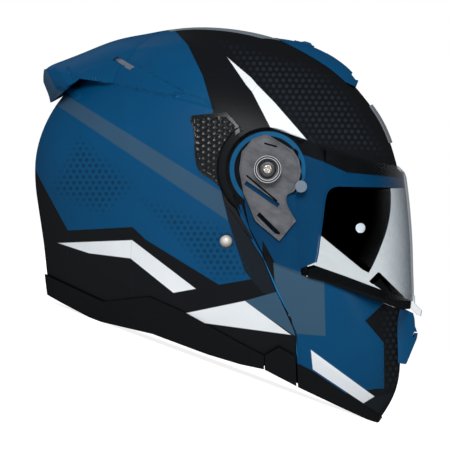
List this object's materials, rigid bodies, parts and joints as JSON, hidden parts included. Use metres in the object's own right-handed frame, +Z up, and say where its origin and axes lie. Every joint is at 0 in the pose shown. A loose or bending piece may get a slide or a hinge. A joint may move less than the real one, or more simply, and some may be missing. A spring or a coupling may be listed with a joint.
{
  "type": "modular motorcycle helmet",
  "caption": "Flip-up motorcycle helmet with hinged chin bar, clear visor, drop-down sun visor, vents, padded lining and chin strap; protects a rider's head.",
  "frame": {"origin": "middle of the helmet's box, on the surface that it stands on by its rear edge and chin", "axes": "+X to the helmet's front, +Z up, -Y to the rider's right, tipped back as it stands"},
  "size_m": [0.3644, 0.2556, 0.2744],
  "materials": {
    "shell_paint": "satin paint in blue, black, grey and white",
    "black_trim": "fine matt moulding",
    "gloss_black": "gloss black with a fine hexagon relief",
    "slate_plastic": "semi-gloss",
    "foam": "moulded bead foam",
    "lining": "brushed knit",
    "rubber": "matt",
    "clear_visor": "clear polished",
    "tinted_visor": "dark tint, polished",
    "plate_grey": "translucent grey",
    "steel": "turned",
    "chrome": "polished",
    "webbing": "woven",
    "buckle_red": "moulded",
    "mesh": "woven wire mesh"
  },
  "bodies": {
    "shell": {"outer_shell": "shell_paint", "eps_liner": "foam", "crown_pad": "lining", "cheek_pad_right": "lining", "cheek_pad_left": "lining", "neck_roll": "lining", "base_trim": "black_trim", "trim_end_cap_right": "black_trim", "trim_end_cap_left": "black_trim", "window_seal": "rubber", "side_panel_right": "gloss_black", "side_panel_left": "gloss_black", "pivot_bush_right": "steel", "pivot_bush_left": "steel", "pivot_screw_right": "steel", "pivot_screw_left": "steel", "pivot_nut_plate_right": "steel", "pivot_nut_plate_left": "steel", "strap_rivet_right": "chrome", "strap_rivet_left": "chrome", "chin_strap_right": "webbing", "chin_strap_left": "webbing", "buckle_tongue": "black_trim", "buckle_body": "steel", "buckle_pin": "steel", "striker_right": "steel", "striker_left": "steel", "top_vent_housing": "shell_paint", "brow_scoop": "slate_plastic", "rear_spoiler": "shell_paint", "exhaust_grilles": "mesh", "sun_visor_pivot_right": "black_trim", "sun_visor_pivot_left": "black_trim", "slider_housing": "black_trim"},
    "chin_bar": {"chin_bar": "shell_paint", "chin_bar_liner": "foam", "chin_bar_trim": "black_trim", "chin_seal": "rubber", "breath_deflector": "rubber", "visor_base_plate_right": "plate_grey", "visor_base_plate_left": "plate_grey", "visor_lock_ring_right": "chrome", "visor_lock_ring_left": "chrome", "chin_vent_housing": "shell_paint", "latch_plate_right": "steel", "latch_plate_left": "steel", "button_housing": "black_trim", "button_spring": "steel"},
    "visor": {"visor": "clear_visor", "pinlock_pins": "clear_visor", "visor_studs": "clear_visor"},
    "sun_visor": {"sun_visor": "tinted_visor"},
    "sun_visor_slider": {"sun_visor_slider": "black_trim"},
    "top_vent_slider": {"top_vent_slider": "shell_paint"},
    "chin_vent_slider": {"chin_vent_slider": "black_trim"},
    "release_button": {"release_button": "black_trim"},
    "latch_hook_right": {"latch_hook_right": "steel"},
    "latch_hook_left": {"latch_hook_left": "steel"},
    "buckle_lever": {"buckle_lever": "buckle_red"}
  },
  "joints": [
    {"name": "chin_bar_hinge", "type": "hinge", "parent": "shell", "child": "chin_bar", "pos_m": [0.01811, 0, 0.16341], "axis": [0, -1, 0], "range_deg": [0, 80]},
    {"name": "visor_hinge", "type": "hinge", "parent": "chin_bar", "child": "visor", "pos_m": [0.01811, 0, 0.16341], "axis": [0, 1, 0], "range_deg": [-50, 0]},
    {"name": "sun_visor_hinge", "type": "hinge", "parent": "shell", "child": "sun_visor", "pos_m": [0.04049, 0, 0.14545], "axis": [0, -1, 0], "range_deg": [0, 40]},
    {"name": "sun_visor_slide", "type": "slide", "parent": "shell", "child": "sun_visor_slider", "axis": [0.9849, 0, -0.1729], "range_m": [0, 0.0201]},
    {"name": "top_vent_slide", "type": "hinge", "parent": "shell", "child": "top_vent_slider", "pos_m": [0.01811, 0, 0.16341], "axis": [0, -1, 0], "range_deg": [0, 5.5]},
    {"name": "chin_vent_slide", "type": "slide", "parent": "chin_bar", "child": "chin_vent_slider", "axis": [-0.0507, 0, -0.9987], "range_m": [0, 0.006]},
    {"name": "release_button_slide", "type": "slide", "parent": "chin_bar", "child": "release_button", "axis": [-0.3469, 0, 0.9379], "range_m": [-0.004, 0], "stiffness_N_per_m": 300, "springref_m": -0.006},
    {"name": "latch_hook_right_hinge", "type": "hinge", "parent": "chin_bar", "child": "latch_hook_right", "pos_m": [0.10911, 0, 0.03794], "axis": [0, 1, 0], "range_deg": [-12.1, 0]},
    {"name": "latch_hook_left_hinge", "type": "hinge", "parent": "chin_bar", "child": "latch_hook_left", "pos_m": [0.10911, 0, 0.03794], "axis": [0, 1, 0], "range_deg": [-12.1, 0]},
    {"name": "buckle_lever_hinge", "type": "hinge", "parent": "shell", "child": "buckle_lever", "pos_m": [0.03867, -0.0266, 0.01159], "axis": [0.9379, 0, 0.3469], "range_deg": [-25, 0], "stiffness_Nm_per_rad": 0.05, "springref_deg": 5.73}
  ],
  "couplings": [
    {"joint": "sun_visor_slide", "follows": "sun_visor_hinge", "m_per_rad": 0.028648},
    {"joint": "latch_hook_right_hinge", "follows": "release_button_slide", "rad_per_m": 52.36},
    {"joint": "latch_hook_left_hinge", "follows": "release_button_slide", "rad_per_m": 52.36}
  ]
}
